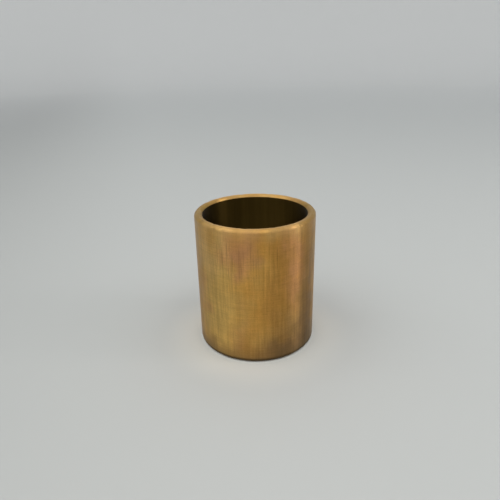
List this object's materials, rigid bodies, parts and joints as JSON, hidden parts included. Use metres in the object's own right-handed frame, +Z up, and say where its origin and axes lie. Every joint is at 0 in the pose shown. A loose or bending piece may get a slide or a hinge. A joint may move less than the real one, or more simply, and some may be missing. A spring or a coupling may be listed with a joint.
{
  "type": "sleeve bushing",
  "caption": "Plain cylindrical bronze sleeve bushing with a straight through bore, a thin even wall and chamfered edges at both ends.",
  "frame": {"origin": "centre of the bottom end face, on the axis of the bore", "axes": "+Z up the axis of the bore; +X and +Y are any two square directions across it, since the sleeve is round"},
  "size_m": [0.052, 0.052, 0.06],
  "materials": {
    "bronze": "fine-turned cast bronze, satin, with faint axial streaks and light tarnish"
  },
  "bodies": {
    "root": {"sleeve": "bronze"}
  },
  "joints": []
}
